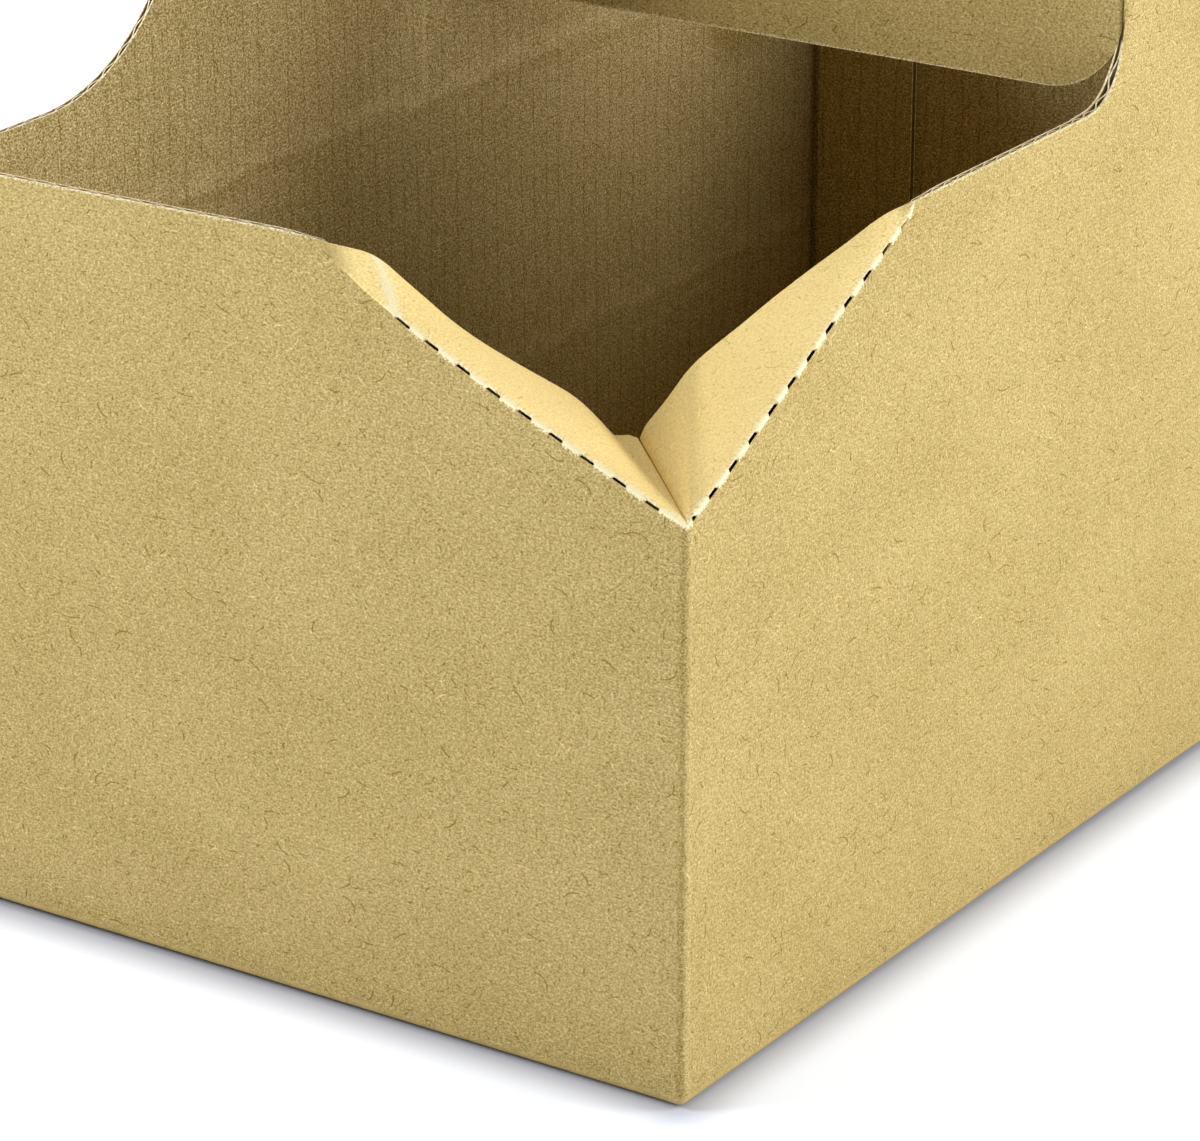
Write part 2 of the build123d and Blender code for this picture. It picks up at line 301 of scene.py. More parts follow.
# ------------------------------------------------------- mesh building
class Board:
    """Collects the cells of a board sheet and turns them into its two liners."""

    def __init__(self):
        self.key, self.o, self.i, self.cells, self.st = {}, [], [], [], []

    def grid(self, key_s, key_h, o, i, hide=None, flat_s=None, flat_h=None):
        m, n = o.shape[:2]
        flat_s = key_s if flat_s is None else flat_s
        flat_h = key_h if flat_h is None else flat_h
        idx = np.zeros((m, n), int)
        for a in range(m):
            for b in range(n):
                k = (round(float(key_s[a, b]), 3), round(float(key_h[a, b]), 3))
                if k not in self.key:
                    self.key[k] = len(self.o)
                    self.o.append(o[a, b]); self.i.append(i[a, b])
                    self.st.append((float(flat_s[a, b]), float(flat_h[a, b]), k[0], k[1]))
                idx[a, b] = self.key[k]
        for a in range(m - 1):
            for b in range(n - 1):
                if hide is not None and hide[a, b]:
                    continue
                q = [idx[a, b], idx[a, b + 1], idx[a + 1, b + 1], idx[a + 1, b]]
                q = [v for j, v in enumerate(q) if v != q[j - 1]]
                if len(set(q)) >= 3:
                    self.cells.append(q)

    def layer(self, name, w0, w1):
        """Closed slab between shares w0 and w1 of the thickness."""
        o, i = np.array(self.o), np.array(self.i)
        a = o + (i - o) * w0
        b = o + (i - o) * w1
        n = len(o)
        verts = np.concatenate([a, b])
        faces, kind, used = [], [], {}
        for q in self.cells:
            faces.append(q); kind.append(0)
            faces.append([v + n for v in reversed(q)]); kind.append(1)
            for j in range(len(q)):
                used[(q[j], q[(j + 1) % len(q)])] = 1
        for (p, r) in list(used):
            if (r, p) not in used:
                faces.append([r, p, p + n, r + n]); kind.append(2)
        st = np.array(self.st + self.st)[:, :2]
        return name, verts, faces, np.array(kind), st


def make(name, verts, faces, kind, st, mats, attrs=None):
    """Blender object from mm vertices; kind picks the face's material."""
    me = bpy.data.meshes.new(name)
    v = lean(verts) * 0.001
    # every closed layer has its faces looking outwards
    f4 = np.array([list(f) if len(f) == 4 else list(f) + [f[-1]] for f in faces], int)
    a, b, c, d = (v[f4[:, i]] for i in range(4))
    if np.sum(a * np.cross(b, c)) + np.sum(a * np.cross(c, d)) < 0:
        faces = [list(f)[::-1] for f in faces]
    me.from_pydata([tuple(p) for p in v], [], [list(map(int, f)) for f in faces])
    for m in mats:
        me.materials.append(m)
    me.polygons.foreach_set("material_index", np.asarray(kind, np.int32))
    me.polygons.foreach_set("use_smooth", np.ones(len(faces), bool))
    at = me.attributes.new("blank", "FLOAT_VECTOR", "POINT")
    flat = np.zeros((len(verts), 3), np.float32)
    flat[:, :2] = st
    at.data.foreach_set("vector", flat.ravel())
    for an, av in (attrs or {}).items():
        at = me.attributes.new(an, "FLOAT", "POINT")
        at.data.foreach_set("value", np.asarray(av, np.float32))
    me.validate(clean_customdata=False)
    me.set_sharp_from_angle(angle=math.radians(38))
    me.update()
    ob = bpy.data.objects.new(name, me)
    bpy.context.scene.collection.objects.link(ob)
    return ob


def flute_mesh(name, pos, s0, s1, rows, mats, per=14, closed=False, phase=0.0):
    """The fluted middle between s0 and s1: pos(s, r, w) gives points, rows is how many
    rows run along the flutes."""
    n = max(int(round((s1 - s0) / PITCH * per)), 4)
    s = np.linspace(s0, s1, n + 1)
    if closed:
        s = s[:-1]
    amp = (1 - 2 * LINER - MEDIUM) / 2
    mid = 0.5 + amp * np.sin(2 * np.pi * (s + phase) / PITCH)
    r = np.linspace(0, 1, rows)
    verts, st = [], []
    for side in (-1, 1):
        for k in range(rows):
            verts.append(pos(s, r[k], mid + side * MEDIUM / 2))
            st.append(np.stack([s, np.full_like(s, r[k] * 100)], -1))
    verts = np.concatenate(verts); st = np.concatenate(st)
    c = len(s)
    faces = []
    cols = c if closed else c - 1
    for k in range(rows - 1):
        for j in range(cols):
            j2 = (j + 1) % c
            a = [k * c + j, k * c + j2, (k + 1) * c + j2, (k + 1) * c + j]
            faces.append(a)
            faces.append([x + rows * c for x in reversed(a)])
    off = rows * c
    kind = [0] * len(faces)
    for j in range(cols):
        j2 = (j + 1) % c
        faces.append([j2, j, j + off, j2 + off])
        k = (rows - 1) * c
        faces.append([k + j, k + j2, k + j2 + off, k + j + off])
    kind += [1] * (len(faces) - len(kind))
    if not closed:
        for k in range(rows - 1):
            faces.append([k * c, (k + 1) * c, (k + 1) * c + off, k * c + off])
            e = k * c + c - 1
            faces.append([e + c, e, e + off, e + c + off])
    kind += [0] * (len(faces) - len(kind))
    return make(name, verts, faces, np.array(kind), st, mats)


# ------------------------------------------------------- materials
def nodes_of(name):
    m = bpy.data.materials.new(name)
    m.use_nodes = True
    nt = m.node_tree
    return m, nt, nt.nodes["Principled BSDF"]


def kraft(name, tint=(1, 1, 1), inner=False, cut=False, fibre=1.0, torn=False, pale=None):
    m, nt, bsdf = nodes_of(name)
    N, K = nt.nodes, nt.links

    def math_(op, a, b=None, c=None, clamp=False):
        n = N.new("ShaderNodeMath"); n.operation = op; n.use_clamp = clamp
        for i, x in enumerate((a, b, c)):
            if x is None:
                continue
            if isinstance(x, (int, float)):
                n.inputs[i].default_value = x
            else:
                K.new(x, n.inputs[i])
        return n.outputs[0]

    at = N.new("ShaderNodeAttribute"); at.attribute_name = "blank"
    P = at.outputs["Vector"]          # place on the flat blank, mm
    grain = N.new("ShaderNodeVectorMath"); grain.operation = "MULTIPLY"; grain.inputs[1].default_value = (0.76, 1, 1)
    K.new(P, grain.inputs[0])         # the fibres lie mostly along the walls

    def noise(scale, detail=0.0, rough=0.5, off=(0, 0, 0)):
        mp = N.new("ShaderNodeVectorMath"); mp.operation = "ADD"; mp.inputs[1].default_value = off
        K.new(grain.outputs[0], mp.inputs[0])
        n = N.new("ShaderNodeTexNoise"); n.noise_dimensions = "2D"
        n.inputs["Scale"].default_value = scale
        n.inputs["Detail"].default_value = detail
        n.inputs["Roughness"].default_value = rough
        K.new(mp.outputs[0], n.inputs["Vector"])
        return n.outputs["Fac"]

    def ramp(x, lo, hi, a=0.0, b=1.0):
        n = N.new("ShaderNodeMapRange"); n.interpolation_type = "SMOOTHSTEP"
        n.inputs["From Min"].default_value = lo; n.inputs["From Max"].default_value = hi
        n.inputs["To Min"].default_value = a; n.inputs["To Max"].default_value = b
        K.new(x, n.inputs["Value"])
        return n.outputs["Result"]

    def vec(op, a_, b_):
        n = N.new("ShaderNodeVectorMath"); n.operation = op
        for i, x in enumerate((a_, b_)):
            if isinstance(x, tuple):
                n.inputs[i].default_value = x
            else:
                K.new(x, n.inputs[i])
        return n.outputs["Value" if op == "DOT_PRODUCT" else "Vector"]

    def fibres(scale, width, bend=0.5, off=(0, 0, 0), shortest=0.3):
        """One short, slightly bent fibre in each cell of a scattered pattern; width is in mm.
        Gives the fibre's mask and the cell's own chance number."""
        at_p = vec("ADD", grain.outputs[0], off)
        v = N.new("ShaderNodeTexVoronoi"); v.voronoi_dimensions = "2D"; v.feature = "F1"
        v.inputs["Scale"].default_value = scale
        K.new(at_p, v.inputs["Vector"])
        sp = N.new("ShaderNodeSeparateColor"); K.new(v.outputs["Color"], sp.inputs[0])
        r1, r2, r3 = sp.outputs[0], sp.outputs[1], sp.outputs[2]
        d = vec("SUBTRACT", at_p, v.outputs["Position"])
        ang = math_("MULTIPLY", r1, 2 * math.pi)
        ca, sa = math_("COSINE", ang), math_("SINE", ang)
        e1 = N.new("ShaderNodeCombineXYZ"); K.new(ca, e1.inputs[0]); K.new(sa, e1.inputs[1])
        e2 = N.new("ShaderNodeCombineXYZ"); K.new(math_("MULTIPLY", sa, -1.0), e2.inputs[0]); K.new(ca, e2.inputs[1])
        along, across = vec("DOT_PRODUCT", d, e1.outputs[0]), vec("DOT_PRODUCT", d, e2.outputs[0])
        k_ = math_("MULTIPLY", math_("SUBTRACT", r3, 0.5), bend * 4 * scale)
        across = math_("MULTIPLY_ADD", math_("MULTIPLY", along, along), k_, across)
        half = math_("MULTIPLY_ADD", math_("MULTIPLY", r3, r3), (0.62 - shortest) / scale, shortest / scale)
        past = math_("SUBTRACT", math_("ABSOLUTE", along), half)
        body = ramp(math_("ABSOLUTE", across), 0.25 * width, 0.75 * width, 1.0, 0.0)
        end = ramp(past, -0.10 / scale, 0.0, 1.0, 0.0)
        return math_("MULTIPLY", body, end), r2

    cloud = noise(0.05, 1.0, 0.5, (3, 7, 0))
    mottle = noise(3.5, 1.0, 1.0, (11, 2, 0))
    n5 = noise(0.30, 0.0, 0.5, (85, 440, 0))
    n6 = noise(0.46, 0.0, 0.5, (485, 40, 0))
    fine1, c1 = fibres(1.45, 0.15, 0.30, (205, 110, 0))
    fine2, c2 = fibres(1.05, 0.14, 0.35, (625, 70, 0))
    hair, c3 = fibres(0.40, 0.16, 0.45, (85, 440, 0), 0.08)

    # brightness off its mean
    t = math_("MULTIPLY", math_("SUBTRACT", cloud, 0.5), 0.16)
    t = math_("MULTIPLY_ADD", math_("SUBTRACT", mottle, 0.5), 2.8 if inner else 1.45 * fibre, t)
    t = math_("MULTIPLY_ADD", math_("MULTIPLY", fine1, ramp(c1, 0.35, 0.65, -0.20, 0.24)), 0.85 * fibre, t)
    t = math_("MULTIPLY_ADD", math_("MULTIPLY", fine1, ramp(c1, 0.025, 0.05, -0.45, 0.0)), min(fibre, 1.0), t)
    t = math_("MULTIPLY_ADD", math_("MULTIPLY", fine2, ramp(c2, 0.40, 0.60, -0.24, 0.28)), 0.90 * fibre, t)
    t = math_("MULTIPLY_ADD", math_("MULTIPLY", hair, ramp(c3, 0.20, 0.26, -0.55, 0.0)), min(fibre, 1.0), t)
    t = math_("MULTIPLY_ADD", math_("MULTIPLY", hair, ramp(c3, 0.84, 0.90, 0.0, 0.34)), min(fibre, 1.0), t)
    height = noise(2.0, 1.0, 0.8, (11, 2, 0))
    if torn:
        su = N.new("ShaderNodeSeparateXYZ"); K.new(P, su.inputs[0])
        worn = math_("MULTIPLY", ramp(math_("ABSOLUTE", math_("SUBTRACT", su.outputs[1], 0.6)), 0.2, 1.5, 1.0, 0.0), ramp(n5, 0.30, 0.62, 0.35, 1.0))
        m_ = math_("MODULO", math_("ADD", su.outputs[0], HALF - 16.0), HALF)
        for at_s in (W - 16.0, HALF - 16.0):
            off = math_("SUBTRACT", m_, at_s)
            t = math_("MULTIPLY_ADD", ramp(math_("ABSOLUTE", math_("ADD", off, 0.55)), 0.1, 0.9, 1.0, 0.0), -0.16, t)
            t = math_("MULTIPLY_ADD", ramp(math_("ABSOLUTE", math_("SUBTRACT", off, 0.9)), 0.0, 0.8, 1.0, 0.0), 0.08, t)

    if inner:
        tex = N.new("ShaderNodeTexCoord")
        sc = N.new("ShaderNodeVectorMath"); sc.operation = "SCALE"; sc.inputs["Scale"].default_value = 1000.0
        K.new(tex.outputs["Object"], sc.inputs[0])
        sep = N.new("ShaderNodeSeparateXYZ"); K.new(sc.outputs[0], sep.inputs[0])
        # the flutes show through the thinner inner liner as faint upright lines
        su = N.new("ShaderNodeSeparateXYZ"); K.new(P, su.inputs[0])
        wob = math_("MULTIPLY_ADD", cloud, 0.5, math_("MULTIPLY", su.outputs[0], 1.0 / PITCH))
        tri = math_("ABSOLUTE", math_("SUBTRACT", math_("FRACT", wob), 0.5))
        rib = math_("MULTIPLY", ramp(tri, 0.01, 0.075, 1.0, 0.0), ramp(n6, 0.30, 0.60, 0.30, 1.0))
        t = math_("MULTIPLY_ADD", rib, -0.34, t)
        # two soft pressed lines along the left wall, each painted as a lighter band above and a darker band below:
        # painted highlight and painted shade standing in for the creases' relief
        left = ramp(sep.outputs["X"], -52.0, -54.0)
        wav = math_("MULTIPLY_ADD", math_("SUBTRACT", cloud, 0.5), 4.0, sep.outputs["Z"])
        for zc, amt in ((85.0, 1.0), (39.0, 0.8)):
            d = math_("SUBTRACT", wav, zc)
            upper = math_("MULTIPLY", ramp(d, -0.4, 0.9), ramp(d, 5.5, 0.9))
            lower = math_("MULTIPLY", ramp(d, -3.0, -0.6), ramp(d, 0.2, -0.5))
            broken = ramp(n5, 0.35, 0.6, 0.2, 1.0)
            upper = math_("MULTIPLY", math_("MULTIPLY", upper, broken), left)
            lower = math_("MULTIPLY", math_("MULTIPLY", lower, broken), left)
            t = math_("MULTIPLY_ADD", upper, 0.20 * amt, t)
            t = math_("MULTIPLY_ADD", lower, -0.12 * amt, t)
        # a lighter narrow upright streak on the left wall at y = -0.6 mm, from 84-88 mm upwards
        yd = math_("ABSOLUTE", math_("ADD", sep.outputs["Y"], 0.6))
        streak = math_("MULTIPLY", math_("MULTIPLY", ramp(yd, 0.0, 1.1, 1.0, 0.0), ramp(sep.outputs["Z"], 84.0, 88.0)), left)
        t = math_("MULTIPLY_ADD", streak, 0.24, t)
        # painted shadow: a soft dark patch high up on the left wall near the rear corner
        sy = math_("MULTIPLY", math_("SUBTRACT", sep.outputs["Y"], 86.0), 1 / 13.0)
        sz = math_("MULTIPLY", math_("SUBTRACT", sep.outputs["Z"], 79.0), 1 / 9.0)
        sd = math_("ADD", math_("MULTIPLY", sy, sy), math_("MULTIPLY", sz, sz))
        t = math_("MULTIPLY_ADD", math_("MULTIPLY", ramp(sd, 0.0, 1.2, 1.0, 0.0), left), -0.34, t)

    # bright fibres are also paler
    t = math_("MAXIMUM", t, -0.5)
    tv = N.new("ShaderNodeVectorMath"); tv.operation = "SCALE"; tv.inputs[0].default_value = (1.0, 1.12, 1.75)
    K.new(t, tv.inputs["Scale"])
    one = N.new("ShaderNodeVectorMath"); one.operation = "ADD"; one.inputs[1].default_value = (1, 1, 1)
    K.new(tv.outputs[0], one.inputs[0])
    col = (0.96, 0.84, 0.56) if cut else (0.458, 0.341, 0.125)
    mul = N.new("ShaderNodeVectorMath"); mul.operation = "MULTIPLY"
    mul.inputs[1].default_value = (col[0] * tint[0], col[1] * tint[1], col[2] * tint[2])
    K.new(one.outputs[0], mul.inputs[0])
    # the 'pale' attribute mixes towards a paler copy of the colour: painted light, standing in for the top light on the
    # pushed-in corner's up-facing halves
    if pale:
        at = N.new("ShaderNodeAttribute"); at.attribute_name = "pale"
        mx_ = N.new("ShaderNodeMix"); mx_.data_type = "VECTOR"; mx_.factor_mode = "UNIFORM"
        vi = [i for i in mx_.inputs if i.type == "VECTOR" and i.enabled]
        K.new(at.outputs["Fac"], [i for i in mx_.inputs if i.type == "VALUE" and i.enabled][0])
        vi[0].default_value = col
        vi[1].default_value = tuple(a * b for a, b in zip(col, pale))
        K.new([o for o in mx_.outputs if o.type == "VECTOR" and o.enabled][0], mul.inputs[1])
    pos_ = N.new("ShaderNodeVectorMath"); pos_.operation = "MAXIMUM"; pos_.inputs[1].default_value = (0.01, 0.01, 0.005)
    K.new(mul.outputs[0], pos_.inputs[0])
    colour = pos_.outputs[0]

    if torn:
        rub = N.new("ShaderNodeMix"); rub.data_type = "RGBA"
        K.new(math_("MULTIPLY", worn, 0.5), rub.inputs["Factor"]); K.new(colour, rub.inputs["A"])
        rub.inputs["B"].default_value = (0.62, 0.445, 0.155, 1)
        colour = rub.outputs["Result"]
        # strained, pale fibre along the perforated folds, and from the same attribute painted highlights along a crease
        # of the pushed-in corner and along the cut rims
        at = N.new("ShaderNodeAttribute"); at.attribute_name = "torn"
        edge = math_("MULTIPLY_ADD", math_("SUBTRACT", mottle, 0.5), 1.3, at.outputs["Fac"])
        tm = math_("MULTIPLY", ramp(edge, 0.02, 0.85), ramp(at.outputs["Fac"], 0.02, 0.20))
        mix = N.new("ShaderNodeMix"); mix.data_type = "RGBA"
        K.new(tm, mix.inputs["Factor"]); K.new(colour, mix.inputs["A"])
        mix.inputs["B"].default_value = (0.97, 0.86, 0.53, 1)
        colour = mix.outputs["Result"]
    K.new(colour, bsdf.inputs["Base Color"])

    bsdf.inputs["Roughness"].default_value = 0.88
    bsdf.inputs["Specular IOR Level"].default_value = 0.25
    bump = N.new("ShaderNodeBump")
    bump.inputs["Strength"].default_value = 0.20
    bump.inputs["Distance"].default_value = 0.00010
    K.new(height, bump.inputs["Height"])
    K.new(bump.outputs[0], bsdf.inputs["Normal"])
    return m


kraft_out = kraft("kraft_outer", torn=True)
kraft_in = kraft("kraft_inner", inner=True, tint=(1.04, 1.065, 1.25), fibre=1.6)
# the pushed-in corner's kraft, made paler by its 'pale' attribute: a lit copy of the kraft, painted light for its
# up-facing halves
kraft_fold = kraft("kraft_corner", fibre=0.38, torn=True, pale=(2.12, 2.20, 2.50))
kraft_cut = kraft("kraft_cut", cut=True, fibre=0.7)
kraft_flute = kraft("kraft_flute", tint=(0.80, 0.78, 0.74), fibre=0.6)
LINER_OUT = [kraft_out, kraft_flute, kraft_cut]
LINER_IN = [kraft_flute, kraft_in, kraft_cut]
LINER_FOLD = [kraft_fold, kraft_flute, kraft_cut]
FLUTE = [kraft_flute, kraft_cut]

# ------------------------------------------------------- slits and torn bridges
SLITS_A = [5.3, 10.0, 14.6, 19.1, 23.6, 28.1, 32.5, 37.1, 41.3]
SLITS_B = [1.6, 5.8, 10.3, 14.7, 19.2, 23.6, 28.0, 32.4, 36.7, 41.2, 45.7, 49.9]
# cut lengths differ a little from slit to slit
SLIT_S = [W - u for u in SLITS_A] + [W + u for u in SLITS_B]
SLIT_HALF = [1.05] * len(SLITS_A) + [0.5] + [1.05] * (len(SLITS_B) - 2) + [0.9]


def slit_at(s):
    """1 inside a slit, 0 on the bridges between slits."""
    s = np.asarray(s, float)
    g = np.zeros_like(s)
    for c, hw in zip(SLIT_S, SLIT_HALF):
        g = np.maximum(g, smooth((hw + 0.12 - np.abs(s - c)) / 0.24))
    return g


def near_fold(s):
    return smooth((s - (W - 43.2)) / 1.2) * smooth((W + 52.6 - s) / 1.2)


# ------------------------------------------------------- columns of the loop
def columns():
    pts = set()

    def add(a, b, step):
        n = max(int(math.ceil((b - a) / step)), 1)
        for x in np.linspace(a, b, n + 1):
            pts.add(round(float(x), 4))

    for base in (0.0, HALF):
        add(base + R_UP, base + W - R_UP, 3.0)
        add(base + W + R_UP, base + S_FOLD - HINGE_R, 3.0)
        for a in np.linspace(0, 90, 13):
            pts.add(round(base + S_FOLD - HINGE_R + HINGE_R * math.sin(math.radians(a)), 4))
        add(base + S_FOLD, base + S_FOLD + 2.0, 0.25)
        add(base + S_FOLD + 2.0, base + S_FOLD + 22, 3.0)
        # the raised edge, sampled along its own length
        run = np.linspace(24.0, 86.0, 4000)
        hh = raised(run)
        arc = np.concatenate([[0], np.cumsum(np.hypot(np.diff(run), np.diff(hh)))])
        for r in np.interp(np.linspace(0, arc[-1], 90), arc, run):
            pts.add(round(base + HALF - float(r), 4))
        add(base + HALF - 24.0, base + HALF - R_UP, 3.0)
        for c in (W, HALF):
            add(base + c - R_UP, base + c + R_UP, 0.3)
    add(62.9, 168.3, 0.30)
    for c, hw in zip(SLIT_S, SLIT_HALF):
        for d in (-hw - 0.12, -hw, -hw + 0.12, hw - 0.12, hw, hw + 0.12):
            pts.add(round(c + d, 4))
    s = np.array(sorted(p for p in pts if -0.001 <= p < 2 * HALF - 0.001))
    keep = [s[0]]
    for x in s[1:]:
        if x - keep[-1] > 0.045:
            keep.append(x)
    return np.array(keep)


SC = columns()
GAP = 0.26     # how far a slit is open on each side of the fold
gap = slit_at(SC) * near_fold(SC) * GAP * 0.5
top = top_of(SC)

# the wall below the raised panels: rows close up towards the cut edge
base_rows = [-R_BASE * (math.pi / 2 - 1), -0.4, 0.1, 0.6, 1.1, R_BASE]
g = 1 - (1 - np.linspace(0, 1, 22)) ** 1.6
low_top = np.minimum(top, RIM + HINGE_H) - gap
rows = [np.full_like(SC, b) for b in base_rows] + [R_BASE + (low_top - R_BASE) * t for t in g[1:-1]] + [low_top - 0.28, low_top]
H = np.stack(rows)
loop = Board()
SS = np.broadcast_to(SC, H.shape)
ext = np.concatenate([SC, [2 * HALF]])
He = np.concatenate([H, H[:, :1]], 1)
Se = np.broadcast_to(ext, He.shape)
keyS = Se.copy(); keyS[:, -1] = SC[0]
loop.grid(keyS, He, wall(Se, He, 0.0), wall(Se, He, 1.0))
# the cross panels, with their hand hole
hole_x, hole_r, hole_z = 40.0, 12.5, 178.0


def panel_pos(q, h, w, base):
    x, y, nx, ny = fold_arc(q)
    q, h, w = np.broadcast_arrays(q, h, w)
    x = np.broadcast_to(x, q.shape); y = np.broadcast_to(y, q.shape)
    nx = np.broadcast_to(nx, q.shape); ny = np.broadcast_to(ny, q.shape)
    f = -1.0 if base else 1.0
    t = T - 0.02 * smooth(q)      # the two panels' glued faces nearly touch
    return np.stack([(x + nx * w * t) * f, (y + ny * w * t) * f, h], -1)


def panel_low(q):
    return RIM + np.maximum(panel_cut(q), panel_cut(PANEL - q))


def panel_high(q):
    e = PANEL - q
    r = 10.0
    return np.where(e < r, TOP - r + np.sqrt(np.maximum(r ** 2 - (r - np.clip(e, 0, r)) ** 2, 0)), TOP)


def hole_half(q):
    x = (HX - q)           # plan position along the cross panel
    e = hole_x - np.abs(x)
    return np.where(e <= 0, 0.0, np.where(e < hole_r, np.sqrt(np.maximum(hole_r ** 2 - (hole_r - np.clip(e, 0, hole_r)) ** 2, 0)), hole_r))


def panel_columns():
    q = [0.0, 0.3, 0.6, 1.0, 1.4, 1.7, 2.0]
    q += [HINGE_P * (1 - math.cos(math.radians(a))) for a in np.linspace(10, 90, 12)]
    q += list(np.linspace(HINGE_P, PANEL - HINGE_P, 34))
    q += [PANEL - HINGE_P * (1 - math.cos(math.radians(a))) for a in np.linspace(0, 90, 13)]
    for sgn in (-1, 1):
        for a in np.linspace(0, 90, 14):
            q.append(HX - sgn * (hole_x - hole_r + hole_r * math.sin(math.radians(a))))
    q = sorted(q)
    keep = [q[0]]
    for x in q[1:]:
        if x - keep[-1] > 0.02:
            keep.append(x)
    return np.array(keep)


def panel_rows(lo, hi, hh):
    """Rows of the cross panel below and above its hand hole."""
    lower = np.stack([lo, lo + 0.25, lo + 0.6] + [lo + 0.6 + (hole_z - hh - lo - 0.6) * t for t in np.linspace(0, 1, 14)[1:]])
    upper = np.stack([hole_z + hh + (hi - 0.28 - hole_z - hh) * t for t in np.linspace(0, 1, 8)] + [hi])
    return lower, upper


# the raised panels above the wall, in the same rows as the cross panels they fold into
fold_rows = panel_rows(np.array([RIM + HINGE_H]), np.array([TOP]), np.array([0.0]))
fold_t = np.concatenate([fold_rows[0], fold_rows[1][1:]])[:-1, 0]
fold_t = (fold_t - fold_t[0]) / (fold_t[-1] - fold_t[0])
for base in (0.0, HALF):
    m = (SC >= base + S_FOLD - 1e-6) & (SC <= base + HALF - 24.0) & (top > RIM + HINGE_H + 0.02)
    sc = SC[m]
    lo = low_top[m]
    hi = top[m]
    below = hi - np.minimum(0.28, 0.3 * (hi - lo))
    Hr = np.concatenate([lo + (below - lo) * fold_t[:, None], hi[None]])
    Sr = np.broadcast_to(sc, Hr.shape)
    loop.grid(Sr, Hr, wall(Sr, Hr, 0.0), wall(Sr, Hr, 1.0))

PQ = panel_columns()
for base in (0.0, HALF):
    lo, hi, hh = panel_low(PQ), panel_high(PQ), hole_half(PQ)
    lower, upper = panel_rows(lo, hi, hh)
    for Hp in (lower, upper):
        Qp = np.broadcast_to(PQ, Hp.shape)
        # the first column is the fold line, shared with the raised panel
        kS = base + S_FOLD - Qp
        kS = np.where(Qp > 1e-6, kS - 2000, kS)
        loop.grid(kS[:, ::-1], Hp[:, ::-1], panel_pos(Qp, Hp, 0.0, base)[:, ::-1], panel_pos(Qp, Hp, 1.0, base)[:, ::-1],
                  flat_s=(base + S_FOLD - Qp)[:, ::-1])

pieces = []


def add_layers(prefix, bd, torn=None, outer=None):
    st = np.array(bd.st)[:, 2:]
    at = {"torn": np.concatenate([torn(st), np.zeros(len(st))])} if torn else None
    if outer:
        # painted light: the 'pale' attribute makes the pushed-in corner's up-facing halves paler, fading out towards
        # both ends; just right of the middle crease it is lowered, painted shade where the left half shades the right
        u = st[:, 0] - W
        fade = np.concatenate([smooth((u + 53.0) / 6.0) * smooth((52.2 - u) / 4.0)] * 2)
        low = np.concatenate([1 - 0.42 * smooth((u - 0.15) / 0.3) * (1 - smooth((u - 1.2) / 6.0))] * 2)
        at["pale"] = low * np.maximum(fade, smooth((np.concatenate([st[:, 1]] * 2) - 0.0) / 6.0) * (fade > 0))
    a = bd.layer(prefix + "_outer", 0.0, LINER)
    pieces.append(make(*a, outer or LINER_OUT, at))
    b = bd.layer(prefix + "_inner", 1 - LINER, 1.0)
    pieces.append(make(*b, LINER_IN))


def wall_torn_and_highlight(st):
    s, h = st[:, 0], st[:, 1]
    ok = (s > 60) & (s < 170)
    d = np.where(ok, top_of(s) - h, 99.0)
    bridge = 1 - slit_at(s)
    # painted highlight: a thin pale line along the cross panels' lower cut edge
    q = S_FOLD - 2000.0 - s
    q = np.where(q < -1, q + HALF, q)
    q = np.clip(q, 0, PANEL)
    edge_highlight = (s < -500) * np.exp(-np.maximum(np.minimum(h - panel_low(q), panel_high(q) - h), 0) / 0.25) * 0.5
    # and the same painted highlight on the outer liner along the cut rims
    beyond = np.where(s < W, W - s - 53.0, s - W - 52.2)
    rim = (s > -500) * np.exp(-np.maximum(top_of(s) - h - 0.06, 0) / 0.16) * smooth(beyond / 1.5) * 0.38
    return np.maximum(near_fold(s) * ok * np.exp(-np.maximum(d - 0.1, 0) / 0.28) * (0.15 + 0.85 * bridge) * 0.75, np.maximum(edge_highlight, rim))


add_layers("walls", loop, wall_torn_and_highlight)


def wall_flute(s, r, w):
    r = 1 - (1 - r) ** 1.8        # closer rows near the rim
    top_ = top_of(s) - slit_at(s) * near_fold(s) * GAP * 0.5
    return wall(s, 2.2 + (top_ - 0.05 - 2.2) * r, w)


pieces.append(flute_mesh("walls_flutes", wall_flute, 0.0, 2 * HALF, 14, FLUTE, closed=True))
for base, nm in ((0.0, "right"), (HALF, "left")):
    for part, lo_f, hi_f in (("low", panel_low, lambda q: hole_z - hole_half(q)), ("high", lambda q: hole_z + hole_half(q), panel_high)):
        def pos(q, r, w, lo_f=lo_f, hi_f=hi_f, base=base):
            lo_ = lo_f(q) + 0.05
            hi_ = hi_f(q) - 0.05
            return panel_pos(q, lo_ + (hi_ - lo_) * r, w, base)
        pieces.append(flute_mesh(f"panel_{nm}_{part}_flutes", pos, 0.6, PANEL - 0.1, 3, FLUTE))

